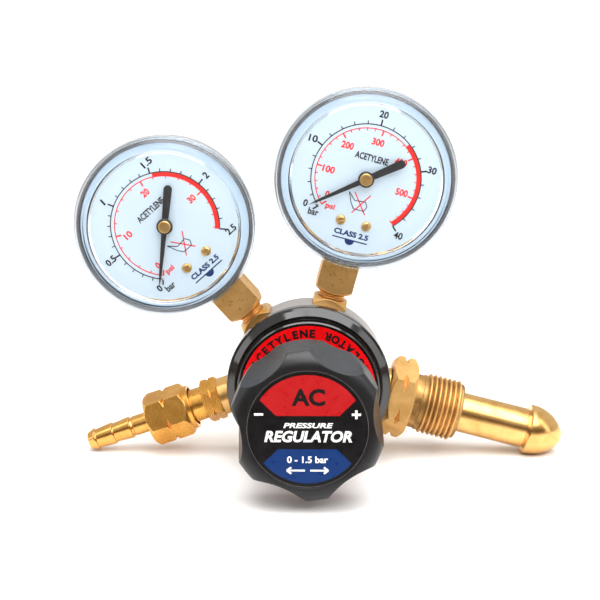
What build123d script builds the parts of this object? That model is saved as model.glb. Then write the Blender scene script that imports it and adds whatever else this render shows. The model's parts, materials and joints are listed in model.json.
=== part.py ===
"""Single-stage acetylene pressure regulator with two gauges, as an assembly of separate pieces.

The knob axis lies along -Y, so the front of the regulator faces -Y.  The inlet leaves towards +X,
the outlet towards -X, and both droop until they rest on the table that the regulator stands on.
"""
from build123d import *
import os
from math import atan2, cos, degrees, pi, radians, sin, sqrt

# ---------------------------------------------------------------- driving dimensions, millimetres
# place of the knob axis and of the port plane in the row frame
AXIS_X = -5.34
PORT_Y = 25.9
AXIS_Z = 30.12

# main body, heights counted forwards from the port plane
BODY_R = 27.8
BODY_BACK = -13.0
BODY_BACK_R = 20.5
BODY_BAND_BACK = -3.3
BODY_SHOULDER = 12.4
NECK_R = 24.0
NECK_FRONT = 16.2
CHAMBER_R = 21.0
CHAMBER_FLOOR = 10.4
VALVE_BORE_R = 7.0
VALVE_BORE_END = -9.0
BAND_THICK = 0.6

# ports: angles counted from +X, seen from the front
INLET_DROOP = 14.4
OUTLET_DROOP = 19.6
OUTLET_OFFSET = 2.64
LOW_GAUGE_LEAN = 42.0
HIGH_GAUGE_LEAN = -15.2
GAUGE_REACH = 77.0
GAUGE_PORT_FACE = 30.7
GAUGE_PORT_SIDE = 12.3
GAUGE_PORT_R = 4.9
INLET_BOSS_R = 9.6
INLET_BOSS_FACE = 29.3
INLET_PORT_R = 6.8
OUTLET_BOSS_R = 7.0
OUTLET_BOSS_FACE = 33.4
OUTLET_PORT_R = 5.6

# bonnet
BONNET_R = 29.6
BONNET_BACK = 12.6
BONNET_RIM_FRONT = 16.6
BONNET_CONE_R = 26.2
BONNET_CONE_FRONT = 18.3
BONNET_STEP_R = 25.5
BONNET_FACE = 22.0
TOWER_R = 16.4
TOWER_FRONT = 52.0
TOWER_WALL = 46.0
SPRING_ROOM_R = 13.2
LABEL_RING_OUT = 24.1
LABEL_RING_IN = 17.0
LABEL_THICK = 0.3

# pressure adjustment
SCREW_R = 5.95
SCREW_PITCH = 1.75
SCREW_HEX = 9.0
SCREW_HEX_THICK = 4.2
KNOB_BACK = 44.0
KNOB_CAVITY = 60.0
KNOB_FRONT = 65.6
KNOB_BACK_R = 25.2
KNOB_SHOULDER_R = 26.5
KNOB_SHOULDER = 60.6
KNOB_DOME = (24.9, 63.9)
KNOB_FACE_R = 21.3
LOBES = 6
LOBE_TURN = 7.0
LOBE_FLAT = 25.9
SCALLOP_R = 25.9
SCALLOP_FRONT = 22.1
SCALLOP_BACK = 24.3
KNOB_LABEL_R = 20.3
KNOB_LABEL_RECESS = 0.7

# diaphragm and valve
DIAPHRAGM_THICK = 0.8
SLIP_RING_THICK = 0.6
SPRING_WIRE_R = 1.5
SPRING_COIL_R = 10.4
SPRING_SEAT = 19.7
SLIP_RING_R = 20.4
SEAT_PLANE = 3.9

# inlet nut and nipple, distances along the inlet from the knob axis
NUT_START = 29.8
NUT_HEX_END = 38.9
NUT_THREAD_START = 43.6
NUT_END = 57.3
NUT_FLATS = 26.0
NUT_TURN = 19.0
INLET_THREAD_R = 11.24
INLET_PITCH = 1.814
STEM_R = 7.45
NOSE_START = 83.6
NOSE_R = 9.3
NOSE_END = 96.8

# outlet adapter, nut and hose barb, distances along the outlet
ADAPTER_HEX_END = 39.9
ADAPTER_FLATS = 14.3
ADAPTER_TURN = 34.0
ADAPTER_THREAD_R = 7.1
ADAPTER_END = 56.0
UNION_START = 44.8
UNION_END = 61.9
UNION_FLATS = 17.3
UNION_TURN = 50.0
BARB_NECK_R = 3.75
BARB_RIDGES = (69.5, 76.4, 83.3)
BARB_RIDGE_R = 4.1
BARB_END = 86.3

# gauges, in each gauge's own frame: x right, y away from the stem, z forwards from the port plane
CASE_R = 30.8
CASE_WALL = 0.8
CASE_BACK = -9.0
CASE_FRONT = 8.0
LENS_R = 32.55
LENS_BACK = 6.8
LENS_FRONT = 12.6
DIAL_R = 29.4
DIAL_FRONT = 7.1
SOCKET_SIDE = 13.3
SOCKET_END = -44.0
STUD_END = -54.0
STUD_R = 4.85
POINTER_BACK = 8.6
POINTER_TIP = 22.3
POINTER_TAIL = 13.5
POINTER_TAIL_R = 1.5
STOP_PIN_RADIUS = 19.6
STOP_PIN_AHEAD = 3.0
DIAL_SCREW_X = 4.7
DIAL_SCREW_Y = -16.5
CASE_SCREW_X = 3.5
CASE_SCREW_Y = -23.0
MODULE = 0.3
PINION_TEETH = 12
SECTOR_TEETH = 64
LINK_ARM = 5.0
POINTER_SWEEP = 266.0
LOW_REST = 222.0
HIGH_REST = 219.0

FRONT = (0, -1, 0)


# ---------------------------------------------------------------- frames
def row_frame(x, z, x_dir, z_dir):
    """Frame whose origin is x, z from the knob axis, in the port plane."""
    return Plane(origin=(AXIS_X + x, PORT_Y, AXIS_Z + z), x_dir=x_dir, z_dir=z_dir)


def port_frame(angle, offset=0.0):
    """Frame whose z runs out along a port at an angle from +X, shifted sideways by an offset."""
    out = (cos(radians(angle)), 0, sin(radians(angle)))
    side = (sin(radians(angle)), -cos(radians(angle)))
    return row_frame(side[0] * offset, side[1] * offset, FRONT, out)


def gauge_frame(lean):
    """Frame at a gauge's centre whose y points away from the regulator."""
    turn = radians(lean)
    x, z = -GAUGE_REACH * sin(turn), GAUGE_REACH * cos(turn)
    return row_frame(x, z, (cos(turn), 0, sin(turn)), FRONT)


MAIN = row_frame(0, 0, (1, 0, 0), FRONT)
INLET = port_frame(-INLET_DROOP)
OUTLET = port_frame(180 + OUTLET_DROOP, OUTLET_OFFSET)
GAUGE_FRAMES = {"low": gauge_frame(LOW_GAUGE_LEAN), "high": gauge_frame(HIGH_GAUGE_LEAN)}
GAUGE_PORTS = {"low": port_frame(90 + LOW_GAUGE_LEAN), "high": port_frame(90 + HIGH_GAUGE_LEAN)}


# ---------------------------------------------------------------- shared shapes
def turned(points, arc=360):
    """Solid of revolution about z from (radius, height) points."""
    outline = Polyline(*[(r, 0, z) for r, z in points], close=True)
    return revolve(make_face(outline), Axis.Z, arc)


def rod(radius, start, end, x=0.0, y=0.0):
    """Round bar along z."""
    return Pos(x, y, (start + end) / 2) * Cylinder(radius, abs(end - start))


def tube(outer, inner, start, end):
    """Round tube along z."""
    return turned([(inner, start), (outer, start), (outer, end), (inner, end)])


def block(x_range, y_range, z_range):
    """Box from its limits."""
    spans = (x_range, y_range, z_range)
    size = [high - low for low, high in spans]
    middle = [(high + low) / 2 for low, high in spans]
    return Pos(*middle) * Box(*size)


def hexagon(flats, start, end, turn, notch_half=1.0, lead=1.0):
    """Hexagon bar with turned ends and the left-hand-thread notch around its corners."""
    corner = flats / sqrt(3)
    middle = (start + end) / 2
    prism = extrude(RegularPolygon(flats / 2, 6, major_radius=False), end - start)
    prism = Pos(0, 0, start) * Rot(0, 0, turn) * prism
    inscribed = flats / 2
    limit = turned([
        (0, start), (inscribed, start), (corner + 0.05, start + lead),
        (corner + 0.05, middle - notch_half), (inscribed + 0.25, middle),
        (corner + 0.05, middle + notch_half), (corner + 0.05, end - lead),
        (inscribed, end), (0, end),
    ])
    return prism & limit


def thread_points(major, minor, start, pitch, count):
    """Outline points of thread crests between two heights."""
    points = []
    for turn in range(count):
        z = start + turn * pitch
        points += [(minor, z), (major, z + 0.40 * pitch), (major, z + 0.55 * pitch)]
    return points + [(minor, start + count * pitch)]


def coil_spring(coil_r, wire_r, start, end, turns):
    """Helical spring whose wire just touches both ends."""
    height = end - start - 2 * wire_r - 0.1
    path = Helix(pitch=height / turns, height=height, radius=coil_r)
    section = Plane(origin=path @ 0, z_dir=path % 0) * Circle(wire_r)
    return Pos(0, 0, start + wire_r + 0.05) * sweep(section, path=path, is_frenet=True)


# ---------------------------------------------------------------- body
def gauge_port(square):
    """Square boss of a gauge port, turned round at its outer end."""
    half = square / 2
    bar = block((-half, half), (-half, half), (18, GAUGE_PORT_FACE))
    corner = half * sqrt(2)
    limit = turned([(0, 18), (corner, 18), (corner, GAUGE_PORT_FACE - 2.2), (half, GAUGE_PORT_FACE),
                    (0, GAUGE_PORT_FACE)])
    return bar & limit


def body():
    """Forged brass body with its four ports, the diaphragm chamber and the valve bore."""
    shape = MAIN * turned([
        (0, BODY_BACK), (BODY_BACK_R - 1.5, BODY_BACK), (BODY_BACK_R, BODY_BACK + 1.5),
        (BODY_R, BODY_BAND_BACK), (BODY_R, BODY_SHOULDER), (NECK_R, BODY_SHOULDER),
        (NECK_R, NECK_FRONT), (0, NECK_FRONT),
    ])
    for port in GAUGE_PORTS.values():
        shape += port * gauge_port(GAUGE_PORT_SIDE)
    shape += INLET * rod(INLET_BOSS_R, 15, INLET_BOSS_FACE)
    shape += OUTLET * rod(OUTLET_BOSS_R, 15, OUTLET_BOSS_FACE)
    shape -= MAIN * rod(CHAMBER_R, CHAMBER_FLOOR, NECK_FRONT)
    shape -= MAIN * rod(VALVE_BORE_R, VALVE_BORE_END, CHAMBER_FLOOR)
    shape -= INLET * rod(INLET_PORT_R, 16, INLET_BOSS_FACE)
    shape -= INLET * rod(2.2, 0, 16)
    shape -= OUTLET * rod(OUTLET_PORT_R, 20, OUTLET_BOSS_FACE)
    shape -= OUTLET * rod(2.5, 15, 20)
    for name, depth in (("low", 14), ("high", 0)):
        shape -= GAUGE_PORTS[name] * rod(GAUGE_PORT_R, 22, GAUGE_PORT_FACE)
        shape -= GAUGE_PORTS[name] * rod(1.6, depth, 22)
    # the outlet and the low-pressure gauge open into the chamber through the floor
    for angle, radius, way_r in ((180 + OUTLET_DROOP, 17.5, 2.2), (90 + LOW_GAUGE_LEAN, 16.0, 1.2)):
        x, y = radius * cos(radians(angle)), radius * sin(radians(angle))
        shape -= MAIN * rod(way_r, 0, CHAMBER_FLOOR, x, y)
    return shape


def body_band():
    """Satin steel band around the body, cut open at each port."""
    outer = BODY_R + BAND_THICK
    shape = MAIN * tube(outer, BODY_R, BODY_BAND_BACK, BODY_SHOULDER - 0.2)
    half = GAUGE_PORT_SIDE / 2 + 0.1
    for port in GAUGE_PORTS.values():
        shape -= port * block((-half, half), (-half, half), (20, 32))
    shape -= INLET * rod(INLET_BOSS_R + 0.1, 20, 32)
    shape -= OUTLET * rod(OUTLET_BOSS_R + 0.1, 20, 32)
    return shape


# ---------------------------------------------------------------- bonnet
def bonnet():
    """Black cast bonnet: rim, raised label face and the tower that holds the spring."""
    inside = NECK_FRONT + DIAPHRAGM_THICK + SLIP_RING_THICK
    outside = turned([
        (0, BONNET_BACK), (BONNET_R - 0.5, BONNET_BACK), (BONNET_R, BONNET_BACK + 0.5),
        (BONNET_R, BONNET_RIM_FRONT - 0.7), (BONNET_R - 0.25, BONNET_RIM_FRONT - 0.2),
        (BONNET_R - 0.9, BONNET_RIM_FRONT + 0.2), (BONNET_CONE_R + 0.5, BONNET_CONE_FRONT),
        (BONNET_CONE_R, BONNET_CONE_FRONT), (BONNET_CONE_R - 0.2, BONNET_CONE_FRONT - 0.4),
        (BONNET_STEP_R, BONNET_CONE_FRONT - 0.4), (BONNET_STEP_R, BONNET_FACE - 0.5),
        (BONNET_STEP_R - 0.5, BONNET_FACE), (LABEL_RING_OUT + 0.1, BONNET_FACE),
        (LABEL_RING_OUT + 0.1, BONNET_FACE - LABEL_THICK),
        (LABEL_RING_IN - 0.1, BONNET_FACE - LABEL_THICK), (TOWER_R, BONNET_FACE - LABEL_THICK),
        (TOWER_R, TOWER_FRONT - 1), (TOWER_R - 1, TOWER_FRONT), (0, TOWER_FRONT),
    ])
    hollow = turned([
        (0, BONNET_BACK), (NECK_R + 0.05, BONNET_BACK), (NECK_R + 0.05, inside), (SLIP_RING_R, inside),
        (SLIP_RING_R, inside + 1.9), (SPRING_ROOM_R, inside + 2.9), (SPRING_ROOM_R, TOWER_WALL),
        (SCREW_R + 0.08, TOWER_WALL), (SCREW_R + 0.08, TOWER_FRONT), (0, TOWER_FRONT),
    ])
    vent = MAIN * (Rot(0, 0, -90) * (Pos(14.8, 0, 34) * (Rot(0, 90, 0) * Cylinder(1.2, 6))))
    return MAIN * (outside - hollow) - vent


def bonnet_label():
    """Printed ring stuck on the raised face of the bonnet."""
    return MAIN * tube(LABEL_RING_OUT, LABEL_RING_IN, BONNET_FACE - LABEL_THICK, BONNET_FACE)


# ---------------------------------------------------------------- pressure adjustment
def knob_outside():
    """Round blank of the knob with a domed edge to its front face."""
    back_edge = Polyline((0, 0, KNOB_BACK), (KNOB_BACK_R - 0.4, 0, KNOB_BACK),
                         (KNOB_BACK_R, 0, KNOB_BACK + 0.4), (KNOB_SHOULDER_R, 0, KNOB_SHOULDER))
    dome = ThreePointArc((KNOB_SHOULDER_R, 0, KNOB_SHOULDER), (KNOB_DOME[0], 0, KNOB_DOME[1]),
                         (KNOB_FACE_R, 0, KNOB_FRONT))
    front = Polyline((KNOB_FACE_R, 0, KNOB_FRONT), (0, 0, KNOB_FRONT), (0, 0, KNOB_BACK))
    return revolve(make_face(back_edge + dome + front), Axis.Z)


def screw_head():
    """Hexagon head of the adjusting screw."""
    head = extrude(RegularPolygon(SCREW_HEX, 6, major_radius=False), SCREW_HEX_THICK)
    return Pos(0, 0, KNOB_CAVITY) * head


def knob():
    """Six-lobed plastic knob, hollow at the back, with a recess for its label."""
    shape = knob_outside()
    flats = extrude(RegularPolygon(LOBE_FLAT, LOBES, major_radius=False), KNOB_FRONT - KNOB_BACK)
    shape &= Pos(0, 0, KNOB_BACK) * (Rot(0, 0, LOBE_TURN) * flats)
    lean = degrees(atan2(SCALLOP_BACK - SCALLOP_FRONT, KNOB_FRONT - KNOB_BACK))
    middle = (KNOB_FRONT + KNOB_BACK) / 2
    reach = (SCALLOP_FRONT + SCALLOP_BACK) / 2 + SCALLOP_R
    scallop = Pos(reach, 0, middle) * (Rot(0, -lean, 0) * Cylinder(SCALLOP_R, 50))
    for lobe in range(LOBES):
        shape -= Rot(0, 0, LOBE_TURN + 60 * lobe) * scallop
    shape -= rod(17.2, KNOB_BACK, KNOB_CAVITY)
    shape -= rod(KNOB_LABEL_R + 0.1, KNOB_FRONT - KNOB_LABEL_RECESS, KNOB_FRONT)
    return MAIN * (shape - screw_head())


def knob_label():
    """Round printed label in the knob's face."""
    return MAIN * rod(KNOB_LABEL_R, KNOB_FRONT - KNOB_LABEL_RECESS, KNOB_FRONT - KNOB_LABEL_RECESS / 2)


def adjusting_screw():
    """Steel screw whose hexagon head is moulded into the knob."""
    tip = TOWER_WALL - 0.5
    crests = thread_points(SCREW_R, SCREW_R - 0.9, tip + 1.2, SCREW_PITCH, 7)
    shank = turned([(0, tip), (2.5, tip), (4.4, tip + 1.2), *crests,
                    (5.0, KNOB_CAVITY), (0, KNOB_CAVITY)])
    return MAIN * (shank + screw_head())


def spring_button():
    """Steel seat between the screw's tip and the main spring."""
    front = TOWER_WALL - 0.5
    return MAIN * turned([(0, front - 5), (7.5, front - 5), (8.6, front - 4), (8.6, front - 2.5),
                          (12.6, front - 2.5), (12.6, front - 0.4), (12.2, front), (0, front)])


def main_spring():
    """Steel spring that sets the outlet pressure."""
    return MAIN * coil_spring(SPRING_COIL_R, SPRING_WIRE_R, SPRING_SEAT, TOWER_WALL - 3.0, 4.5)


# ---------------------------------------------------------------- diaphragm and valve
def diaphragm():
    """Rubber disc clamped at its edge between body and bonnet."""
    return MAIN * tube(NECK_R, 3.05, NECK_FRONT, NECK_FRONT + DIAPHRAGM_THICK)


def slip_ring():
    """Steel ring that lets the bonnet turn on the diaphragm while it is screwed down."""
    start = NECK_FRONT + DIAPHRAGM_THICK
    return MAIN * tube(NECK_R, SLIP_RING_R, start, start + SLIP_RING_THICK)


def diaphragm_plate():
    """Aluminium plate that seats the main spring and carries the stud through the diaphragm."""
    back = NECK_FRONT + DIAPHRAGM_THICK
    return MAIN * turned([(0, 13.6), (2.6, 13.6), (3.0, 14.0), (3.0, back), (17, back), (17, back + 1),
                          (15, SPRING_SEAT), (8.7, SPRING_SEAT), (8.7, 21.4), (8.0, 22.0), (0, 22.0)])


def diaphragm_nut():
    """Round nut that clamps the diaphragm against its plate."""
    return MAIN * tube(8.0, 3.0, NECK_FRONT - 2.0, NECK_FRONT)


def valve_nozzle():
    """Brass nozzle screwed into the chamber floor, with the seat lip at its back."""
    top = CHAMBER_FLOOR + 1.8
    ring = turned([(1.4, SEAT_PLANE), (2.0, SEAT_PLANE), (2.4, 4.6), (VALVE_BORE_R, 4.6),
                   (VALVE_BORE_R, CHAMBER_FLOOR), (1.4, CHAMBER_FLOOR)])
    flange = extrude(RegularPolygon(8.5, 6, major_radius=False), top - CHAMBER_FLOOR)
    flange = Pos(0, 0, CHAMBER_FLOOR) * flange - rod(1.4, CHAMBER_FLOOR, top)
    return MAIN * (ring + flange)


def poppet():
    """Brass poppet with its push pin, which reaches the diaphragm's stud."""
    cup = turned([(0, -2.5), (2.6, -2.5), (2.6, -1.3), (4.6, -1.3), (4.6, 3.2), (3.45, 3.2),
                  (3.45, 2.2), (0, 2.2)])
    return MAIN * (cup + rod(0.9, 2.2, 13.6))


def seat_pad():
    """Nylon pad that closes on the seat lip."""
    return MAIN * tube(3.45, 0.9, 2.2, SEAT_PLANE)


def poppet_spring():
    """Steel spring that closes the valve."""
    return MAIN * coil_spring(3.7, 0.4, VALVE_BORE_END, -1.3, 5)


# ---------------------------------------------------------------- inlet
def inlet_nipple():
    """Brass nipple: screwed end, long stem and rounded nose with the gas way through it."""
    collar = NOSE_START + 1.4
    stem = turned([
        (0, 16), (INLET_PORT_R - 0.6, 16), (INLET_PORT_R, 17), (INLET_PORT_R, INLET_BOSS_FACE),
        (STEM_R, INLET_BOSS_FACE), (STEM_R, NOSE_START - 0.9), (STEM_R - 0.5, NOSE_START - 0.7),
        (STEM_R - 0.5, NOSE_START), (NOSE_R - 0.5, NOSE_START), (NOSE_R, NOSE_START + 0.5),
        (NOSE_R, collar), (0, collar),
    ])
    radius_along = NOSE_END - collar + 1.2
    outline = Polyline((0, 0, collar), (NOSE_R, 0, collar))
    # the nose narrows on one long round from the collar to the flat round its opening
    bulge = (NOSE_R * 0.80, 0, collar + radius_along * 0.52)
    outline += ThreePointArc((NOSE_R, 0, collar), bulge, (2.6, 0, NOSE_END))
    outline += Polyline((2.6, 0, NOSE_END), (0, 0, NOSE_END), (0, 0, collar))
    nose = revolve(make_face(outline), Axis.Z)
    return INLET * (stem + nose - rod(1.9, 16, NOSE_END) - rod(4.0, 16, 26))


def inlet_filter():
    """Sintered bronze filter in the body end of the nipple."""
    return INLET * rod(4.0, 17, 26)


def inlet_nut():
    """Brass nut, free to turn on the nipple, with its left-hand thread."""
    bore = STEM_R + 0.15
    crests = thread_points(INLET_THREAD_R, INLET_THREAD_R - 1.1, NUT_THREAD_START, INLET_PITCH, 7)
    shank = turned([
        (bore, NUT_HEX_END - 1), (10.0, NUT_HEX_END - 1), (10.0, NUT_THREAD_START - 1.6),
        (10.35, NUT_THREAD_START - 1.4), (10.35, NUT_THREAD_START - 0.3), *crests,
        (INLET_THREAD_R - 1.0, NUT_END - 0.5), (INLET_THREAD_R - 1.4, NUT_END), (bore + 0.4, NUT_END),
        (bore, NUT_END - 0.4),
    ])
    head = hexagon(NUT_FLATS, NUT_START, NUT_HEX_END, NUT_TURN, 1.1, 1.6)
    return INLET * (head - rod(bore, NUT_START, NUT_HEX_END) + shank)


# ---------------------------------------------------------------- outlet
def outlet_adapter():
    """Brass adapter: screwed end, small hexagon and the left-hand thread for the union nut."""
    stub = rod(OUTLET_PORT_R, 21, OUTLET_BOSS_FACE)
    head = hexagon(ADAPTER_FLATS, OUTLET_BOSS_FACE, ADAPTER_HEX_END, ADAPTER_TURN, 0.8, 0.7)
    crests = thread_points(ADAPTER_THREAD_R, ADAPTER_THREAD_R - 0.85, 46.6, 1.411, 6)
    neck = turned([(0, ADAPTER_HEX_END), (6.15, ADAPTER_HEX_END), *crests, (6.0, ADAPTER_END),
                   (4.4, ADAPTER_END), (2.2, ADAPTER_END - 2.2), (0, ADAPTER_END - 2.2)])
    return OUTLET * (stub + head + neck - rod(2.2, 21, ADAPTER_END))


def outlet_nut():
    """Brass union nut that holds the hose barb on the adapter."""
    seat = 59.4
    head = hexagon(UNION_FLATS, UNION_START + 1.6, UNION_END, UNION_TURN, 1.0, 1.5)
    collar = rod(8.2, UNION_START, UNION_START + 2.4)
    bore = turned([(0, UNION_START), (ADAPTER_THREAD_R + 0.08, UNION_START),
                   (ADAPTER_THREAD_R + 0.08, seat), (BARB_NECK_R + 0.25, seat),
                   (BARB_NECK_R + 0.25, UNION_END), (0, UNION_END)])
    return OUTLET * (head + collar - bore)


def hose_barb():
    """Brass hose tail with three ridges and a coned seat inside the union nut."""
    points = [(2.2, 54.4), (2.6, 54.4), (4.3, ADAPTER_END + 0.15), (6.9, ADAPTER_END + 0.15),
              (6.9, 59.3), (BARB_NECK_R, 59.3), (BARB_NECK_R, 68.2), (3.4, 68.6)]
    for ridge in BARB_RIDGES:
        points += [(3.6, ridge - 0.25), (BARB_RIDGE_R, ridge), (BARB_RIDGE_R, ridge + 0.5)]
        points += [(3.62, ridge + 6.3)] if ridge != BARB_RIDGES[-1] else []
    points += [(3.2, BARB_END - 0.2), (2.9, BARB_END), (2.4, BARB_END), (2.2, BARB_END - 0.2)]
    return OUTLET * turned(points)


# ---------------------------------------------------------------- gauges
def gauge_case():
    """Deep drawn steel case with the hole for its socket."""
    cup = turned([(0, CASE_BACK), (CASE_R - 2.2, CASE_BACK), (CASE_R - 0.6, CASE_BACK + 0.7),
                  (CASE_R, CASE_BACK + 2.2), (CASE_R, CASE_FRONT), (CASE_R - CASE_WALL, CASE_FRONT),
                  (CASE_R - CASE_WALL, CASE_BACK + 2.0), (CASE_R - 2.0, CASE_BACK + CASE_WALL),
                  (0, CASE_BACK + CASE_WALL)])
    cup -= block((-6, 6), (-32, -28), (-6, 6))
    for x in (-CASE_SCREW_X, CASE_SCREW_X):
        cup -= rod(1.1, CASE_BACK - 1, CASE_BACK + 2, x, CASE_SCREW_Y)
    return cup


def gauge_lens():
    """Clear snap-on lens with its thick rim."""
    return turned([
        (31.0, LENS_BACK), (LENS_R - 0.3, LENS_BACK), (LENS_R, LENS_BACK + 0.3), (LENS_R, 9.6),
        (31.9, 11.2), (30.6, 12.0), (28.9, LENS_FRONT), (27.5, LENS_FRONT), (27.0, 12.0), (0, 12.0),
        (0, 10.4), (26.4, 10.4), (27.4, 9.4), (29.9, 9.4), (29.9, 8.2), (31.0, 8.2),
    ])


def gauge_dial():
    """White aluminium dial plate."""
    plate = tube(DIAL_R, 2.2, DIAL_FRONT - 0.5, DIAL_FRONT)
    for x in (-DIAL_SCREW_X, DIAL_SCREW_X):
        plate -= rod(1.1, 5, 8, x, DIAL_SCREW_Y)
    return plate


def gauge_dial_screws():
    """Two slotted brass screws that hold the dial on its bracket."""
    screws = []
    for x, slot_turn in ((-DIAL_SCREW_X, 25), (DIAL_SCREW_X, 70)):
        head = turned([(0, 3.4), (1.05, 3.4), (1.05, DIAL_FRONT), (1.8, DIAL_FRONT), (1.7, 7.6),
                       (1.1, 8.0), (0, 8.1)])
        slot = Rot(0, 0, slot_turn) * block((-2, 2), (-0.22, 0.22), (7.7, 8.5))
        screws.append(Pos(x, DIAL_SCREW_Y, 0) * (head - slot))
    return Compound(children=screws)


def gauge_socket():
    """Brass socket: threaded stud, square for the spanner and the bracket inside the case."""
    half = SOCKET_SIDE / 2
    corner = half * sqrt(2)
    square = block((-half, half), (-half, half), (CASE_R + 0.05, -SOCKET_END))
    square &= turned([(0, 30), (corner, 30), (corner, -SOCKET_END - 2.2), (half - 0.4, -SOCKET_END),
                      (0, -SOCKET_END)])
    crests = thread_points(STUD_R, STUD_R - 0.6, -SOCKET_END + 0.4, 0.94, 9)
    stud = turned([(0, -SOCKET_END - 1), (4.2, -SOCKET_END - 1), *crests,
                   (4.0, -STUD_END), (0, -STUD_END)])
    outer = Rot(90, 0, 0) * (square + stud)
    bracket = block((-5.9, 5.9), (-CASE_R - 1, -17), (-5.9, 3.4))
    shape = outer + bracket - Rot(90, 0, 0) * rod(1.5, 20, -STUD_END)
    for x in (-CASE_SCREW_X, CASE_SCREW_X):
        shape -= rod(0.9, -5.9, -3, x, CASE_SCREW_Y)
    return shape


def gauge_case_screws():
    """Two screws that hold the case on its socket from behind."""
    screws = []
    for x in (-CASE_SCREW_X, CASE_SCREW_X):
        head = turned([(0, -9.9), (1.5, -9.9), (1.9, CASE_BACK), (0.88, CASE_BACK), (0.85, -3.2),
                       (0, -3.2)])
        slot = block((-2.2, 2.2), (-0.2, 0.2), (-10, -9.6))
        screws.append(Pos(x, CASE_SCREW_Y, 0) * (head - slot))
    return Compound(children=screws)


TUBE_START = radians(-71)
TUBE_ARC = 243.5
TUBE_TIP = TUBE_START + radians(TUBE_ARC)


def bourdon_tube():
    """Flattened brass tube bent round the case, from the bracket to its free tip."""
    ring = turned([(19.2, -5.3), (20.8, -5.3), (20.8, -0.9), (19.2, -0.9)], TUBE_ARC)
    hollow = turned([(19.5, -5.0), (20.5, -5.0), (20.5, -1.2), (19.5, -1.2)], TUBE_ARC)
    foot = block((5.9, 7.2), (-20.6, -17.2), (-5.3, -0.9))
    return Rot(0, 0, degrees(TUBE_START)) * (ring - hollow) + foot


def tip_point():
    """Centre of the pin on the free tip of the Bourdon tube."""
    angle = TUBE_TIP + radians(4.5)
    return 20 * cos(angle), 20 * sin(angle)


def bourdon_tip():
    """Brass end piece soldered on the tube's tip, with the pin for the link."""
    block_solid = turned([(18.8, -5.6), (21.2, -5.6), (21.2, -0.6), (18.8, -0.6)], 7)
    tip = Rot(0, 0, degrees(TUBE_TIP)) * block_solid
    return tip + rod(0.5, -1, 0.5, *tip_point())


PIVOT_Y = -(PINION_TEETH + SECTOR_TEETH) * MODULE / 2
SECTOR_REST = -POINTER_SWEEP * PINION_TEETH / SECTOR_TEETH / 2
ARM_ANGLE = 44.0


def arm_point():
    """Centre of the link's pin on the sector's arm at rest."""
    angle = radians(ARM_ANGLE + SECTOR_REST)
    return LINK_ARM * cos(angle), PIVOT_Y + LINK_ARM * sin(angle)


def gauge_link():
    """Steel link between the tip and the sector's arm."""
    (x0, y0), (x1, y1) = tip_point(), arm_point()
    length = sqrt((x1 - x0) ** 2 + (y1 - y0) ** 2)
    strip = block((0, length), (-0.7, 0.7), (-0.3, 0.3))
    strip += rod(1.0, -0.3, 0.3) + rod(1.8, -0.3, 0.3, length)
    strip -= rod(0.55, -0.3, 0.3) + rod(1.1, -0.3, 0.3, length)
    return Pos(x0, y0, 0) * (Rot(0, 0, degrees(atan2(y1 - y0, x1 - x0))) * strip)


def gear_tooth(pitch_r, half_angle, height):
    """One straight-sided gear tooth on the +x side of a wheel."""
    add, ded = 0.24, 0.34
    root, tip = pitch_r - ded - 0.05, pitch_r + add
    outline = Polyline((root, -1.5 * half_angle * root), (tip, -0.5 * half_angle * tip),
                       (tip, 0.5 * half_angle * tip), (root, 1.5 * half_angle * root), close=True)
    return extrude(make_face(outline), height)


def sector_gear():
    """Brass sector with its arm, its pivot shaft and the pin for the link."""
    pitch_r = SECTOR_TEETH * MODULE / 2
    step = 360 / SECTOR_TEETH
    plate = turned([(0, 0.7), (pitch_r - 0.36, 0.7), (pitch_r - 0.36, 1.9), (0, 1.9)], 70)
    plate = Rot(0, 0, 55) * plate
    for index in range(-6, 7):
        tooth = Pos(0, 0, 0.7) * gear_tooth(pitch_r, radians(step) * 0.17, 1.2)
        plate += Rot(0, 0, 90 + step * index) * tooth
    plate += rod(1.6, 0.7, 1.9) + rod(0.6, -2.9, 4.9)
    arm = block((0, LINK_ARM), (-1.1, 1.1), (0.7, 1.9))
    arm += rod(1.1, 0.7, 1.9, LINK_ARM) + rod(0.45, -0.5, 0.8, LINK_ARM)
    plate += Rot(0, 0, ARM_ANGLE) * arm
    return Pos(0, PIVOT_Y, 0) * (Rot(0, 0, SECTOR_REST) * plate)


def pinion():
    """Steel pinion and spindle that carries the pointer."""
    pitch_r = PINION_TEETH * MODULE / 2
    step = 360 / PINION_TEETH
    wheel = rod(pitch_r - 0.36, 0.4, 2.2)
    # a tooth gap of the pinion faces a tooth of the sector at rest
    phase = SECTOR_REST % (360 / SECTOR_TEETH)
    follow = -phase * SECTOR_TEETH / PINION_TEETH
    for index in range(PINION_TEETH):
        tooth = Pos(0, 0, 0.4) * gear_tooth(pitch_r, radians(step) * 0.17, 1.8)
        wheel += Rot(0, 0, -90 + step * (index + 0.5) + follow) * tooth
    return wheel + rod(0.6, -2.9, POINTER_BACK)


def movement():
    """Two brass plates on a foot, held apart by pillars, which carry the shafts."""
    shape = block((-5.9, 5.9), (-17, -14.5), (-2.6, 4.6))
    for back, front in ((-2.6, -1.9), (4.0, 4.6)):
        shape += block((-6.5, 6.5), (-14.5, 4.6), (back, front))
        shape -= rod(0.65, back, front) + rod(0.65, back, front, 0, PIVOT_Y)
    for x in (-5.4, 5.4):
        shape += rod(0.9, -1.9, 4.0, x, 3.4)
    for x in (-DIAL_SCREW_X, DIAL_SCREW_X):
        shape -= rod(1.1, 3.4, 4.6, x, DIAL_SCREW_Y)
    return shape


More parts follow.
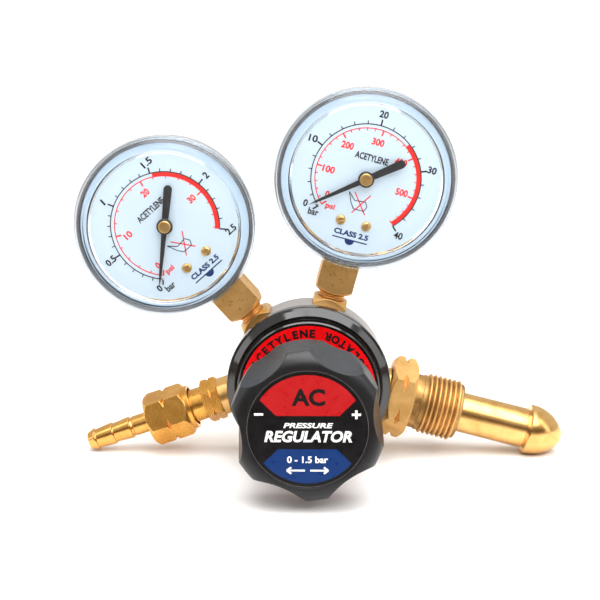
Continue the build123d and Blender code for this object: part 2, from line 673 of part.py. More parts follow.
def hairspring():
    """Flat spiral spring that keeps the gears pressed to one side."""
    turns, steps, half = 3.0, 72, 0.06
    inner, outer = 0.75, 3.1
    points = []
    for side in (half, -half):
        row = []
        for step in range(steps + 1):
            angle = 2 * pi * turns * step / steps
            radius = inner + (outer - inner) * step / steps + side
            row.append((radius * cos(angle), radius * sin(angle)))
        points += row if side > 0 else row[::-1]
    return Pos(0, 0, 2.6) * extrude(make_face(Polyline(*points, close=True)), 0.7)


def gauge_pointer(rest):
    """Black pointer with its hub."""
    blade = Polyline((-POINTER_TAIL, -POINTER_TAIL_R), (-2.0, -1.15), (2.0, -0.95),
                     (POINTER_TIP - 4, -0.45), (POINTER_TIP, 0), (POINTER_TIP - 4, 0.45), (2.0, 0.95),
                     (-2.0, 1.15), (-POINTER_TAIL, POINTER_TAIL_R), close=True)
    flat = extrude(make_face(blade), 0.5) + rod(POINTER_TAIL_R, 0, 0.5, -POINTER_TAIL)
    hub = turned([(0, 0), (2.9, 0), (2.9, 0.5), (2.5, 0.8), (0, 0.8)])
    return Pos(0, 0, POINTER_BACK) * (Rot(0, 0, rest) * (flat + hub))


def pointer_cap():
    """Brass cap on the pointer's hub."""
    base = POINTER_BACK + 0.8
    return turned([(0, base), (2.25, base), (2.25, base + 0.35), (1.9, base + 0.6), (0, base + 0.6)])


def stop_pin(rest):
    """Pin in the dial that the pointer rests on at zero."""
    angle = radians(rest + STOP_PIN_AHEAD)
    x, y = STOP_PIN_RADIUS * cos(angle), STOP_PIN_RADIUS * sin(angle)
    return rod(0.45, DIAL_FRONT, 9.2, x, y)


def gauge_parts(name, rest):
    """Every piece of one gauge, by node name."""
    place = GAUGE_FRAMES[name]
    shapes = {
        "case": gauge_case(), "lens": gauge_lens(), "dial": gauge_dial(),
        "dial_screws": gauge_dial_screws(), "socket": gauge_socket(),
        "case_screws": gauge_case_screws(), "bourdon_tube": bourdon_tube(),
        "bourdon_tip": bourdon_tip(), "link": gauge_link(), "sector_gear": sector_gear(),
        "pinion": pinion(), "movement": movement(), "hairspring": hairspring(),
        "pointer": gauge_pointer(rest), "pointer_cap": pointer_cap(), "stop_pin": stop_pin(rest),
    }
    return {f"{name}_gauge_{piece}": place * shape for piece, shape in shapes.items()}


# ---------------------------------------------------------------- assembly
def assembly():
    """Every node of the regulator, by name."""
    nodes = {
        "body": body(), "body_band": body_band(), "bonnet": bonnet(), "bonnet_label": bonnet_label(),
        "knob": knob(), "knob_label": knob_label(), "adjusting_screw": adjusting_screw(),
        "spring_button": spring_button(), "main_spring": main_spring(), "diaphragm": diaphragm(),
        "slip_ring": slip_ring(), "diaphragm_plate": diaphragm_plate(),
        "diaphragm_nut": diaphragm_nut(), "valve_nozzle": valve_nozzle(), "poppet": poppet(),
        "seat_pad": seat_pad(), "poppet_spring": poppet_spring(), "inlet_nipple": inlet_nipple(),
        "inlet_filter": inlet_filter(), "inlet_nut": inlet_nut(), "outlet_adapter": outlet_adapter(),
        "outlet_nut": outlet_nut(), "hose_barb": hose_barb(),
    }
    nodes.update(gauge_parts("low", LOW_REST))
    nodes.update(gauge_parts("high", HIGH_REST))
    return nodes


if __name__ == "__main__":
    os.makedirs("parts", exist_ok=True)
    for node, shape in assembly().items():
        export_step(shape, f"parts/{node}.step")
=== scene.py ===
"""Dresses the gas regulator: metals, enamel, plastic, clear lenses, printed dials and labels.

It also builds a small studio. Printed parts are drawn in millimetres on a flat sheet, each
about one unit thick, and are brought to metres when they are put in their place.
"""
import json
from math import atan2, cos, pi, radians, sin

import bpy
from bpy.props import FloatProperty, FloatVectorProperty, PointerProperty
from bpy.types import Operator, Panel, PropertyGroup
from mathutils import Matrix, Vector


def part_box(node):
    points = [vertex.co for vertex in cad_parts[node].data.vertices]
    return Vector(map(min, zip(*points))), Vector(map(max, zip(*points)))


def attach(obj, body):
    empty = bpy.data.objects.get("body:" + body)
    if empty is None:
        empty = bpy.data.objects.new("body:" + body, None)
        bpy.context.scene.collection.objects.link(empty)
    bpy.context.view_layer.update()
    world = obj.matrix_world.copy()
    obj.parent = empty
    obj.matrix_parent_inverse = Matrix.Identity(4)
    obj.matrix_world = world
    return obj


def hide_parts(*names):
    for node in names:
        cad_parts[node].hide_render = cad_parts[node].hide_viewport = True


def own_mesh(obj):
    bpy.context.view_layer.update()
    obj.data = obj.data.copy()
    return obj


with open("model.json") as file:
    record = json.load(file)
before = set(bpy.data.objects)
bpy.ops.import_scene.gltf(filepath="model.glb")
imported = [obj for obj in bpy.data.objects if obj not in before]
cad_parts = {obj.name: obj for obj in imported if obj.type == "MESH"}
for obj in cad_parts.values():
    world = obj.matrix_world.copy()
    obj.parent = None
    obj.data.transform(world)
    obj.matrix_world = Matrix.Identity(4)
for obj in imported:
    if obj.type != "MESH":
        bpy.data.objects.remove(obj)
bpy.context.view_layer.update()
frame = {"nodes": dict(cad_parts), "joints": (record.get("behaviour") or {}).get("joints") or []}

bl_info = {
    "name": "Gas Regulator Dressing",
    "version": (1, 0, 0),
    "blender": (4, 5, 0),
    "location": "3D View > Sidebar > Regulator",
    "description": "Finishes, printed faces and a studio for a two-gauge gas regulator",
    "category": "Object",
}

MM = 0.001
GAUGES = ("low", "high")
# radii in millimetres over which a finish changes
THREAD_VALLEY = (10.3, 11.0)
WINDOW_EDGE = (26.9, 28.0)
# painted shade: the lens turns darker and bluer from the first radius to the second
LENS_RIM_SHADE = (26.5, 31)
# painted shade: the dial turns darker and bluer from the first radius to the second
DIAL_RIM_SHADE = (22, 29)
# radii of the rubbed edges, in metres
WORN_BRASS, WORN_STEEL = 0.00022, 0.0002
SMUDGE = 0.12
FILM_GLOSS = 0.25
# tones that are not settings
WARM_TONE = (1.0, 0.84, 0.50, 1)
RUBBED_BRASS = (0.97, 0.74, 0.40, 1)
RUBBED_STEEL = (0.93, 0.92, 0.91, 1)
DUST = (0.16, 0.155, 0.15, 1)


# ---------------------------------------------------------------- places in the shared frame
def box_centre(node):
    """Middle of a CAD node's box."""
    low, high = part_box(node)
    return (low + high) / 2


def facing(origin, x_dir, z_dir):
    """Place whose x and z run along two directions, with its origin at a point."""
    x, z = Vector(x_dir).normalized(), Vector(z_dir).normalized()
    turn = Matrix((x, z.cross(x), z)).transposed().to_4x4()
    return Matrix.Translation(origin) @ turn


def joint(name):
    """The declared joint of that name."""
    return next(j for j in frame["joints"] if j["name"] == name)


def nut_place(name):
    """Place on a nut's joint whose z is the axis that the nut turns about."""
    nut = joint(name)
    return facing(nut["pos_m"], FRONT, nut["axis"])


FRONT = (0, -1, 0)
KNOB_AXIS = box_centre("knob_label")
MAIN = facing((KNOB_AXIS.x, 0, KNOB_AXIS.z), (1, 0, 0), FRONT)
INLET = nut_place("inlet_nut_turn")
OUTLET = nut_place("outlet_nut_turn")


def gauge_place(gauge):
    """Place at a gauge's centre whose y points away from the knob axis."""
    centre = box_centre(f"{gauge}_gauge_lens")
    lean = atan2(KNOB_AXIS.x - centre.x, centre.z - KNOB_AXIS.z)
    return facing((centre.x, 0, centre.z), (cos(lean), 0, sin(lean)), FRONT)


GAUGE_PLACE = {gauge: gauge_place(gauge) for gauge in GAUGES}
DIAL_FACE = {gauge: -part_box(f"{gauge}_gauge_dial")[0].y for gauge in GAUGES}
KNOB_FACE = -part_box("knob_label")[0].y
RING_FACE = -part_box("bonnet_label")[0].y


# ---------------------------------------------------------------- settings
def tint(name, description, default):
    """A colour setting."""
    return FloatVectorProperty(name=name, description=description, default=default, size=4,
                               min=0.0, max=1.0, subtype="COLOR")


def length(name, description, default):
    """A length setting, in metres."""
    return FloatProperty(name=name, description=description, default=default, min=0.0,
                         precision=5, unit="LENGTH")


class RegulatorFinishes(PropertyGroup):
    """Colours of the metals, plastics and enamel."""
    brass_bright: tint("Bright brass", "Fresh turned brass", (0.84, 0.52, 0.195, 1))
    brass_deep: tint("Aged brass", "Brass that has darkened in the air", (0.62, 0.34, 0.095, 1))
    brass_stain: tint("Brass stain", "Spots and dirt in the grooves", (0.10, 0.045, 0.012, 1))
    steel: tint("Satin steel", "Band and gauge cases", (0.62, 0.575, 0.56, 1))
    enamel: tint("Enamel", "Gloss black of the bonnet", (0.003, 0.0028, 0.003, 1))
    knob: tint("Knob", "Satin black of the knob", (0.004, 0.0045, 0.006, 1))
    lens: tint("Lens", "Tint of the clear lenses", (0.93, 0.965, 0.985, 1))
    dial: tint("Dial", "White enamel of the dials", (0.62, 0.69, 0.75, 1))
    edge_wear: FloatProperty(name="Edge wear", description="How bright worn brass edges are",
                             default=0.55, min=0.0, max=1.0, subtype="FACTOR")


class RegulatorPrint(PropertyGroup):
    """Inks and line widths of the printed faces."""
    black: tint("Black ink", "Bar scale and lettering", (0.008, 0.008, 0.009, 1))
    red: tint("Red ink", "Upper field of the knob", (0.40, 0.002, 0.004, 1))
    ring_red: tint("Ring red", "Film on the bonnet's ring", (0.74, 0.003, 0.005, 1))
    scale_red: tint("Scale red", "Brighter red on the dials", (0.86, 0.018, 0.012, 1))
    blue: tint("Blue ink", "Lower field and dial marks", (0.001, 0.028, 0.14, 1))
    white: tint("White ink", "Lettering on black and blue", (0.86, 0.86, 0.86, 1))
    depth: length("Ink depth", "Thickness of the printed layer", 0.00003)
    major_tick: length("Major tick", "Width of a numbered tick", 0.00052)
    minor_tick: length("Minor tick", "Width of a plain tick", 0.00033)
    scale_line: length("Scale line", "Width of the thin scale arcs", 0.00034)


class RegulatorStudio(PropertyGroup):
    """Floor, lights and camera."""
    floor_size: length("Floor", "Side of the floor", 14.0)
    focal: FloatProperty(name="Focal length", description="Camera lens", default=90.0, min=20.0,
                         unit="CAMERA")
    distance: length("Distance", "Camera to the point that it looks at", 0.5425)
    elevation: FloatProperty(name="Elevation", description="Camera height above level",
                             default=radians(13.45), subtype="ANGLE")
    azimuth: FloatProperty(name="Azimuth", description="Camera turn about the vertical",
                           default=radians(0.7), subtype="ANGLE")
    ambient: FloatProperty(name="Ambient", description="Brightness of the room", default=0.8,
                           min=0.0)
    overhead: FloatProperty(name="Overhead", description="Power of the overhead softbox",
                            default=7.0, min=0.0, unit="POWER")
    key: FloatProperty(name="Key", description="Power of the high front softbox", default=6.0,
                       min=0.0, unit="POWER")
    side: FloatProperty(name="Side", description="Power of each side softbox", default=1.1,
                        min=0.0, unit="POWER")


# ---------------------------------------------------------------- shader helpers
def shader_node(tree, kind, inputs=None, **settings):
    """Adds a node, sets its settings, then its sockets from numbers or other sockets."""
    made = tree.nodes.new(kind)
    for name, value in settings.items():
        setattr(made, name, value)
    for socket, value in (inputs or {}).items():
        if isinstance(value, bpy.types.NodeSocket):
            tree.links.new(value, made.inputs[socket])
        else:
            made.inputs[socket].default_value = value
    return made


def local_point(tree, place):
    """Object coordinates brought into a piece's own place, so that z is its axis."""
    spot, turn, _ = place.decompose()
    coordinates = shader_node(tree, "ShaderNodeTexCoord").outputs["Object"]
    return shader_node(tree, "ShaderNodeMapping", {
        "Vector": coordinates, "Location": spot, "Rotation": turn.to_euler(),
    }, vector_type="TEXTURE").outputs[0]


def noise(tree, point, scale, detail, roughness=0.55, distortion=0.0):
    """Soft random pattern from 0 to 1."""
    return shader_node(tree, "ShaderNodeTexNoise", {
        "Vector": point, "Scale": scale, "Detail": detail, "Roughness": roughness,
        "Distortion": distortion,
    }).outputs[0]


def spread(tree, value, in_low, in_high, low, high):
    """Stretches a value to another range and holds it there."""
    return shader_node(tree, "ShaderNodeMapRange", {
        "Value": value, "From Min": in_low, "From Max": in_high, "To Min": low, "To Max": high,
    }, clamp=True).outputs[0]


def maths(tree, operation, first, second, clamp=False):
    """One arithmetic step."""
    return shader_node(tree, "ShaderNodeMath", {0: first, 1: second}, operation=operation,
                       use_clamp=clamp).outputs[0]


def blend(tree, share, first, second, way="MIX"):
    """Mix of two colours."""
    return shader_node(tree, "ShaderNodeMix", {0: share, 6: first, 7: second}, data_type="RGBA",
                       blend_type=way).outputs[2]


def bumped(tree, height, strength, distance, normal=None):
    """Normal with a height pattern on it."""
    inputs = {"Height": height, "Strength": strength, "Distance": distance}
    if normal is not None:
        inputs["Normal"] = normal
    return shader_node(tree, "ShaderNodeBump", inputs).outputs[0]


def rounded_edges(tree, radius):
    """Normal with its edges rounded, and a mask that is 1 on them."""
    soft = shader_node(tree, "ShaderNodeBevel", {"Radius": radius}, samples=4).outputs[0]
    flat = shader_node(tree, "ShaderNodeNewGeometry").outputs["Normal"]
    along = shader_node(tree, "ShaderNodeVectorMath", {0: soft, 1: flat},
                        operation="DOT_PRODUCT").outputs["Value"]
    return soft, spread(tree, along, 0.995, 0.90, 0.0, 1.0)


def axis_radius(tree, point):
    """Distance from the z axis of a place, and height along it."""
    parts = shader_node(tree, "ShaderNodeSeparateXYZ", {0: point})
    flat = shader_node(tree, "ShaderNodeCombineXYZ", {0: parts.outputs[0], 1: parts.outputs[1]})
    radius = shader_node(tree, "ShaderNodeVectorMath", {0: flat.outputs[0]},
                         operation="LENGTH").outputs["Value"]
    return radius, parts.outputs[2]


def tool_marks(tree, radius, height, scale):
    """Fine rings that a turning tool leaves round an axis."""
    point = shader_node(tree, "ShaderNodeCombineXYZ", {0: radius, 2: height}).outputs[0]
    return noise(tree, point, scale, 4.0, 0.6)


def finish(name, **sockets):
    """New material: its tree and its surface shader, with plain sockets set."""
    material = bpy.data.materials.new(name)
    material.use_nodes = True
    surface = material.node_tree.nodes["Principled BSDF"]
    for socket, value in sockets.items():
        surface.inputs[socket.replace("_", " ")].default_value = value
    return material, material.node_tree, surface


def dress(node, material):
    """Gives a CAD node its material."""
    piece = frame["nodes"][node]
    if not piece.material_slots:
        piece.data.materials.append(material)
    for slot in piece.material_slots:
        slot.material = material


# ---------------------------------------------------------------- finishes
def brass(name, place, colours, marks, smoothness, groove=None, forged=0.0, stains=0.66,
          warmth=0.0):
    """Turned or forged brass.

    groove is a pair of radii in millimetres: dirt lies at the first and is gone at the second.
    forged roughens the skin, a lower stains makes more spots, and warmth deepens the colour.
    """
    material, tree, surface = finish(name, Metallic=1.0)
    point = local_point(tree, place)
    radius, height = axis_radius(tree, point)
    rings = tool_marks(tree, radius, height, marks)
    cloud = noise(tree, point, 130.0, 4.0, 0.6, 0.4)
    grain = noise(tree, point, 2400.0, 2.0, 0.5)
    tone = spread(tree, cloud, 0.36, 0.68, 0.0, 1.0)
    tone = maths(tree, "MULTIPLY", tone, spread(tree, rings, 0.3, 0.7, 0.55, 1.0))
    colour = blend(tree, tone, colours.brass_bright, colours.brass_deep)
    if warmth:
        colour = blend(tree, warmth, colour, WARM_TONE, "MULTIPLY")
    spots = spread(tree, noise(tree, point, 420.0, 5.0, 0.7, 0.6), stains, stains + 0.1, 0.0, 0.75)
    if groove:
        bottom, top = groove
        sunk = spread(tree, radius, top * MM, bottom * MM, 0.0, 0.8)
        sunk = maths(tree, "MULTIPLY", sunk, spread(tree, cloud, 0.3, 0.62, 0.35, 1.0))
        spots = maths(tree, "MAXIMUM", spots, sunk)
    colour = blend(tree, spots, colour, colours.brass_stain)
    soft, edge = rounded_edges(tree, WORN_BRASS)
    worn = maths(tree, "MULTIPLY", edge, colours.edge_wear)
    colour = blend(tree, worn, colour, RUBBED_BRASS)
    shine = spread(tree, maths(tree, "ADD", rings, spots), 0.3, 1.3, *smoothness)
    relief = maths(tree, "ADD", maths(tree, "MULTIPLY", rings, 0.6),
                   maths(tree, "MULTIPLY", grain, 0.4 + forged))
    surface_normal = bumped(tree, relief, 0.30 + 0.4 * forged, 0.00004, soft)
    tree.links.new(colour, surface.inputs["Base Color"])
    tree.links.new(shine, surface.inputs["Roughness"])
    tree.links.new(surface_normal, surface.inputs["Normal"])
    return material


def satin_metal(name, place, colour, roughness, marks=3200.0):
    """Brushed or plated metal with fine rings, smudges and bright edges."""
    material, tree, surface = finish(name, Metallic=1.0)
    point = local_point(tree, place)
    radius, height = axis_radius(tree, point)
    rings = tool_marks(tree, radius, height, marks)
    cloud = noise(tree, point, 95.0, 3.0, 0.6, 0.5)
    dark = [channel * 0.62 for channel in colour[:3]] + [1]
    shade = maths(tree, "MULTIPLY", spread(tree, cloud, 0.4, 0.75, 0.0, 1.0), SMUDGE * 4, True)
    tinted = blend(tree, shade, list(colour), dark)
    tinted = blend(tree, maths(tree, "MULTIPLY", rings, SMUDGE), tinted, dark)
    soft, edge = rounded_edges(tree, WORN_STEEL)
    tinted = blend(tree, maths(tree, "MULTIPLY", edge, 0.4), tinted, RUBBED_STEEL)
    shine = spread(tree, maths(tree, "ADD", rings, cloud), 0.6, 1.4, *roughness)
    tree.links.new(tinted, surface.inputs["Base Color"])
    tree.links.new(shine, surface.inputs["Roughness"])
    tree.links.new(bumped(tree, rings, 0.25, 0.00003, soft), surface.inputs["Normal"])
    return material


def black_coat(name, place, colour, roughness, peel, edge_colour, edge_share, round_off,
               coat=0.0, peel_scale=900.0):
    """Enamel or moulded plastic: fine surface texture, dust, smudges and rubbed edges."""
    material, tree, surface = finish(name, IOR=1.5, Specular_IOR_Level=0.5, Coat_Weight=coat,
                                     Coat_Roughness=0.05)
    point = local_point(tree, place)
    cloud = noise(tree, point, 160.0, 4.0, 0.6, 0.6)
    fine = noise(tree, point, peel_scale, 3.0, 0.55)
    dust = spread(tree, noise(tree, point, 1500.0, 2.0, 0.6), 0.70, 0.80, 0.0, 0.10)
    soft, edge = rounded_edges(tree, round_off)
    rub = maths(tree, "MULTIPLY", edge, spread(tree, cloud, 0.35, 0.65, 0.15, 1.0))
    shade = blend(tree, spread(tree, cloud, 0.3, 0.7, 0.0, 0.5), list(colour),
                  [channel * 2.2 for channel in colour[:3]] + [1])
    shade = blend(tree, dust, shade, DUST)
    shade = blend(tree, maths(tree, "MULTIPLY", rub, edge_share), shade, edge_colour)
    shine = spread(tree, maths(tree, "ADD", cloud, fine), 0.7, 1.4, *roughness)
    tree.links.new(shade, surface.inputs["Base Color"])
    tree.links.new(shine, surface.inputs["Roughness"])
    tree.links.new(bumped(tree, fine, peel, 0.00008, soft), surface.inputs["Normal"])
    return material


def printed(name, colour, roughness, mottle=0.10):
    """Ink or film: slightly uneven colour, tiny scratches and a soft sheen."""
    material, tree, surface = finish(name, IOR=1.48, Specular_IOR_Level=FILM_GLOSS)
    point = shader_node(tree, "ShaderNodeTexCoord").outputs["Object"]
    cloud = noise(tree, point, 260.0, 4.0, 0.6)
    speck = spread(tree, noise(tree, point, 3200.0, 2.0, 0.5), 0.60, 0.78, 0.0, mottle * 2)
    darker = [channel * (1 - mottle * 2) for channel in colour[:3]] + [1]
    lighter = [min(1.0, channel * (1 + mottle) + 0.02 * mottle) for channel in colour[:3]] + [1]
    shade = blend(tree, spread(tree, cloud, 0.3, 0.7, 0.0, 1.0), darker, lighter)
    shade = blend(tree, speck, shade, darker)
    shine = spread(tree, cloud, 0.3, 0.7, roughness - 0.06, roughness + 0.08)
    tree.links.new(shade, surface.inputs["Base Color"])
    tree.links.new(shine, surface.inputs["Roughness"])
    tree.links.new(bumped(tree, cloud, 0.02, 0.00001), surface.inputs["Normal"])
    return material


def dial_enamel(name, place, colour):
    """White dial: faint mottling, painted shade that makes it darker and bluer towards its rim, and
    a soft gloss.
    """
    material, tree, surface = finish(name, IOR=1.5, Coat_Weight=0.15, Coat_Roughness=0.2)
    point = local_point(tree, place)
    radius, _ = axis_radius(tree, point)
    # painted shade: the dial darker and bluer towards its rim
    rim = spread(tree, radius, *(r * MM for r in DIAL_RIM_SHADE), 0.0, 0.55)
    cloud = spread(tree, noise(tree, point, 60.0, 3.0, 0.5, 0.5), 0.3, 0.7, 0.0, 0.22)
    rim_shade_colour = [colour[0] * 0.80, colour[1] * 0.87, colour[2] * 0.94, 1]
    shade = blend(tree, maths(tree, "MAXIMUM", rim, cloud), list(colour), rim_shade_colour)
    grain = noise(tree, point, 3000.0, 2.0, 0.5)
    tree.links.new(shade, surface.inputs["Base Color"])
    tree.links.new(spread(tree, grain, 0.3, 0.7, 0.32, 0.46), surface.inputs["Roughness"])
    tree.links.new(bumped(tree, grain, 0.06, 0.00002), surface.inputs["Normal"])
    return material


def clear_plastic(name, place, colour):
    """Clear lens that bends what is behind it, lets lamps through, is lightly handled, and has
    painted shade towards its rim.
    """
    material, tree, surface = finish(name, IOR=1.49, Transmission_Weight=1.0)
    point = local_point(tree, place)
    radius, _ = axis_radius(tree, point)
    smear = noise(tree, point, 70.0, 4.0, 0.65, 1.2)
    hair = noise(tree, point, 900.0, 2.0, 0.5)
    # painted shade: the lens darker and bluer towards its rim
    rim = spread(tree, radius, *(r * MM for r in LENS_RIM_SHADE), 0.0, 1.0)
    shade = blend(tree, rim, list(colour), [colour[0] * 0.86, colour[1] * 0.93, colour[2], 1])
    tree.links.new(shade, surface.inputs["Base Color"])
    frosted = spread(tree, radius, *(r * MM for r in WINDOW_EDGE), 0.0, 0.20)
    handled = spread(tree, smear, 0.45, 0.8, 0.0, 0.05)
    tree.links.new(maths(tree, "ADD", frosted, handled), surface.inputs["Roughness"])
    tree.links.new(bumped(tree, hair, 0.02, 0.00002), surface.inputs["Normal"])
    paths = shader_node(tree, "ShaderNodeLightPath")
    lit = maths(tree, "MAXIMUM", paths.outputs["Is Shadow Ray"], paths.outputs["Is Diffuse Ray"])
    open_way = shader_node(tree, "ShaderNodeBsdfTransparent", {"Color": (0.93, 0.96, 0.98, 1)})
    mixed = shader_node(tree, "ShaderNodeMixShader", {
        0: lit, 1: surface.outputs[0], 2: open_way.outputs[0]})
    tree.links.new(mixed.outputs[0], tree.nodes["Material Output"].inputs["Surface"])
    return material


# ---------------------------------------------------------------- modelling helpers
def select_only(*pieces):
    """Selects these pieces and nothing else; the first is active."""
    bpy.ops.object.select_all(action="DESELECT")
    for piece in pieces:
        piece.select_set(True)
    if pieces:
        bpy.context.view_layer.objects.active = pieces[0]


def edit(piece):
    """Opens a piece in edit mode with everything on it selected."""
    select_only(piece)
    bpy.ops.object.mode_set(mode="EDIT")
    bpy.ops.mesh.select_all(action="SELECT")


def leave_edit(merge=1e-5):
    """Back to object mode, with doubled points merged and the faces pointing outwards."""
    bpy.ops.mesh.select_all(action="SELECT")
    bpy.ops.mesh.remove_doubles(threshold=merge)
    bpy.ops.mesh.normals_make_consistent(inside=False)
    bpy.ops.object.mode_set(mode="OBJECT")


def apply_place(piece, place):
    """Puts a piece in its place and moves that place into its mesh."""
    select_only(piece)
    piece.matrix_world = place
    bpy.ops.object.transform_apply(location=True, rotation=True, scale=True)
    return piece


def bar(start, end, width, rise=1.0):
    """Flat printed line between two points; crossing lines differ a little in thickness."""
    (x0, y0), (x1, y1) = start, end
    run = Vector((x1 - x0, y1 - y0, 0))
    select_only()
    bpy.ops.mesh.primitive_cube_add(size=1)
    piece = bpy.context.object
    place = Matrix.Translation(((x0 + x1) / 2, (y0 + y1) / 2, rise / 2))
    place @= Matrix.Rotation(atan2(run.y, run.x), 4, "Z")
    return apply_place(piece, place @ Matrix.Diagonal((run.length, width, rise, 1)))


def stroke(points, width):
    """Printed outline through points."""
    runs = zip(points, points[1:])
    return [bar(a, b, width, 1 + 0.1 * (i % 2)) for i, (a, b) in enumerate(runs)]


def polar(radius, angle):
    """Point at a radius and an angle in degrees."""
    return radius * cos(radians(angle)), radius * sin(radians(angle))


def arc(radius, width, start, end, rise=1.0):
    """Flat printed arc between two angles in degrees: its section is spun round."""
    select_only()
    bpy.ops.mesh.primitive_plane_add(size=1)
    piece = bpy.context.object
    spot = Matrix.Rotation(radians(start), 4, "Z") @ Matrix.Translation((radius, 0, rise / 2))
    stand = Matrix.Rotation(pi / 2, 4, "X") @ Matrix.Diagonal((width, rise, 1, 1))
    apply_place(piece, spot @ stand)
    edit(piece)
    bpy.ops.mesh.delete(type="ONLY_FACE")
    bpy.ops.mesh.select_all(action="SELECT")
    steps = max(4, round(abs(end - start) / 2.5))
    bpy.ops.mesh.spin(steps=steps, angle=radians(start - end), center=(0, 0, 0), axis=(0, 0, 1))
    bpy.ops.mesh.select_all(action="SELECT")
    bpy.ops.mesh.remove_doubles(threshold=1e-5)
    if abs(end - start) < 360:
        bpy.ops.mesh.fill_holes(sides=4)
    leave_edit()
    return piece


def disc_segment(radius, cuts):
    """Flat printed disc, 1 thick, cut by lines given as a point and the side to drop."""
    select_only()
    bpy.ops.mesh.primitive_circle_add(vertices=144, radius=radius, fill_type="NGON")
    piece = bpy.context.object
    edit(piece)
    for (x, y), side in cuts:
        bpy.ops.mesh.select_all(action="SELECT")
        bpy.ops.mesh.bisect(plane_co=(x, y, 0), plane_no=(*side, 0), clear_outer=True)
    bpy.ops.mesh.select_all(action="SELECT")
    bpy.ops.mesh.extrude_region_move(TRANSFORM_OT_translate={"value": (0, 0, 1)})
    leave_edit()
    return piece


def letters(text, centre, height, width=None, turn=0.0, slant=0.0, weight=0.0):
    """Printed lettering, 1 thick, made a mesh and fitted to a height and a width."""
    select_only()
    bpy.ops.object.text_add()
    piece = bpy.context.object
    piece.data.body = text
    piece.data.shear = slant
    piece.data.offset = weight
    piece.data.extrude = 0.5
    piece.data.resolution_u = 3
    bpy.ops.object.convert(target="MESH")
    piece = bpy.context.object
    spots = [v.co for v in piece.data.vertices]
    low = Vector([min(p[i] for p in spots) for i in range(3)])
    high = Vector([max(p[i] for p in spots) for i in range(3)])
    tall = height / (high.y - low.y)
    wide = tall if width is None else width / (high.x - low.x)
    middle = (low + high) / 2
    place = Matrix.Translation((*centre, 0.5)) @ Matrix.Rotation(radians(turn), 4, "Z")
    place @= Matrix.Diagonal((wide, tall, 1, 1)) @ Matrix.Translation((-middle.x, -middle.y, 0))
    return apply_place(piece, place)


def ring_letters(text, radius, height, start, step, inward=False, weight=0.0):
    """Letters set one by one round a ring, with their feet or their heads to the middle."""
    made = []
    for index, letter in enumerate(text):
        if letter == " ":
            continue
        angle = start + step * index
        turn = angle + 90 if inward else angle - 90
        made.append(letters(letter, polar(radius, angle), height, turn=turn, weight=weight))
    return made


def copies_round(piece, angles):
    """Copies of a piece turned round the middle, each with its own mesh; the piece goes."""
    made = []
    for angle in angles:
        twin = piece.copy()
        twin.data = piece.data.copy()
        bpy.context.collection.objects.link(twin)
        made.append(apply_place(twin, Matrix.Rotation(radians(angle), 4, "Z")))
    bpy.data.objects.remove(piece)
    return made


def join_print(name, parts, place, face, depth, material, body):
    """Joins printed parts drawn in millimetres into one piece on its face."""
    select_only(*parts)
    if len(parts) > 1:
        bpy.ops.object.join()
    piece = bpy.context.object
    piece.name = piece.data.name = name
    lift = Matrix.Translation((0, 0, face))
    apply_place(piece, place @ lift @ Matrix.Diagonal((MM, MM, depth, 1)))
    piece.data.materials.clear()
    piece.data.materials.append(material)
    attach(piece, body)
    return piece


def squeezed_copy(node, name):
    """Copy of a CAD spring with its own mesh, hung on the regulator in place of the CAD node, which
    is hidden.
    """
    piece = bpy.data.objects.new(name, frame["nodes"][node].data.copy())
    bpy.context.collection.objects.link(piece)
    piece.data.name = name
    edit(piece)
    leave_edit(1e-6)
    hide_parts(node)
    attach(piece, "regulator")
    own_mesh(piece)


# ---------------------------------------------------------------- operators
class REGULATOR_OT_brass(Operator):
    """Gives the body, the fittings, the gauge sockets and the clockwork their brass"""
    bl_idname = "regulator.brass"
    bl_label = "Brass Parts"

    def execute(self, context):
        colours = context.scene.regulator_finishes
        body = brass("forged_brass", MAIN, colours, 1800.0, (0.28, 0.44), forged=0.5)
        inlet = brass("turned_brass_inlet", INLET, colours, 2400.0, (0.20, 0.34))
        thread = brass("threaded_brass_inlet", INLET, colours, 2600.0, (0.46, 0.62), THREAD_VALLEY,
                       forged=0.3)
        outlet = brass("turned_brass_outlet", OUTLET, colours, 2400.0, (0.20, 0.34), warmth=0.6)
        union = brass("union_brass", OUTLET, colours, 1500.0, (0.25, 0.38), warmth=1.0)
        for node, material in (
            ("body", body), ("valve_nozzle", body), ("poppet", body), ("inlet_nipple", inlet),
            ("inlet_nut", thread), ("outlet_adapter", union), ("outlet_nut", union),
            ("hose_barb", outlet),
        ):
            dress(node, material)
        for gauge in GAUGES:
            place = GAUGE_PLACE[gauge]
            stem = place @ Matrix.Rotation(pi / 2, 4, "X")
            socket = brass(f"socket_brass_{gauge}", stem, colours, 1500.0, (0.44, 0.60), forged=0.3,
                           stains=0.60)
            small = brass(f"clockwork_brass_{gauge}", place, colours, 3000.0, (0.36, 0.48))
            dress(f"{gauge}_gauge_socket", socket)
            for piece in ("dial_screws", "pointer_cap", "bourdon_tube", "bourdon_tip",
                          "sector_gear", "movement"):
                dress(f"{gauge}_gauge_{piece}", small)
        return {"FINISHED"}


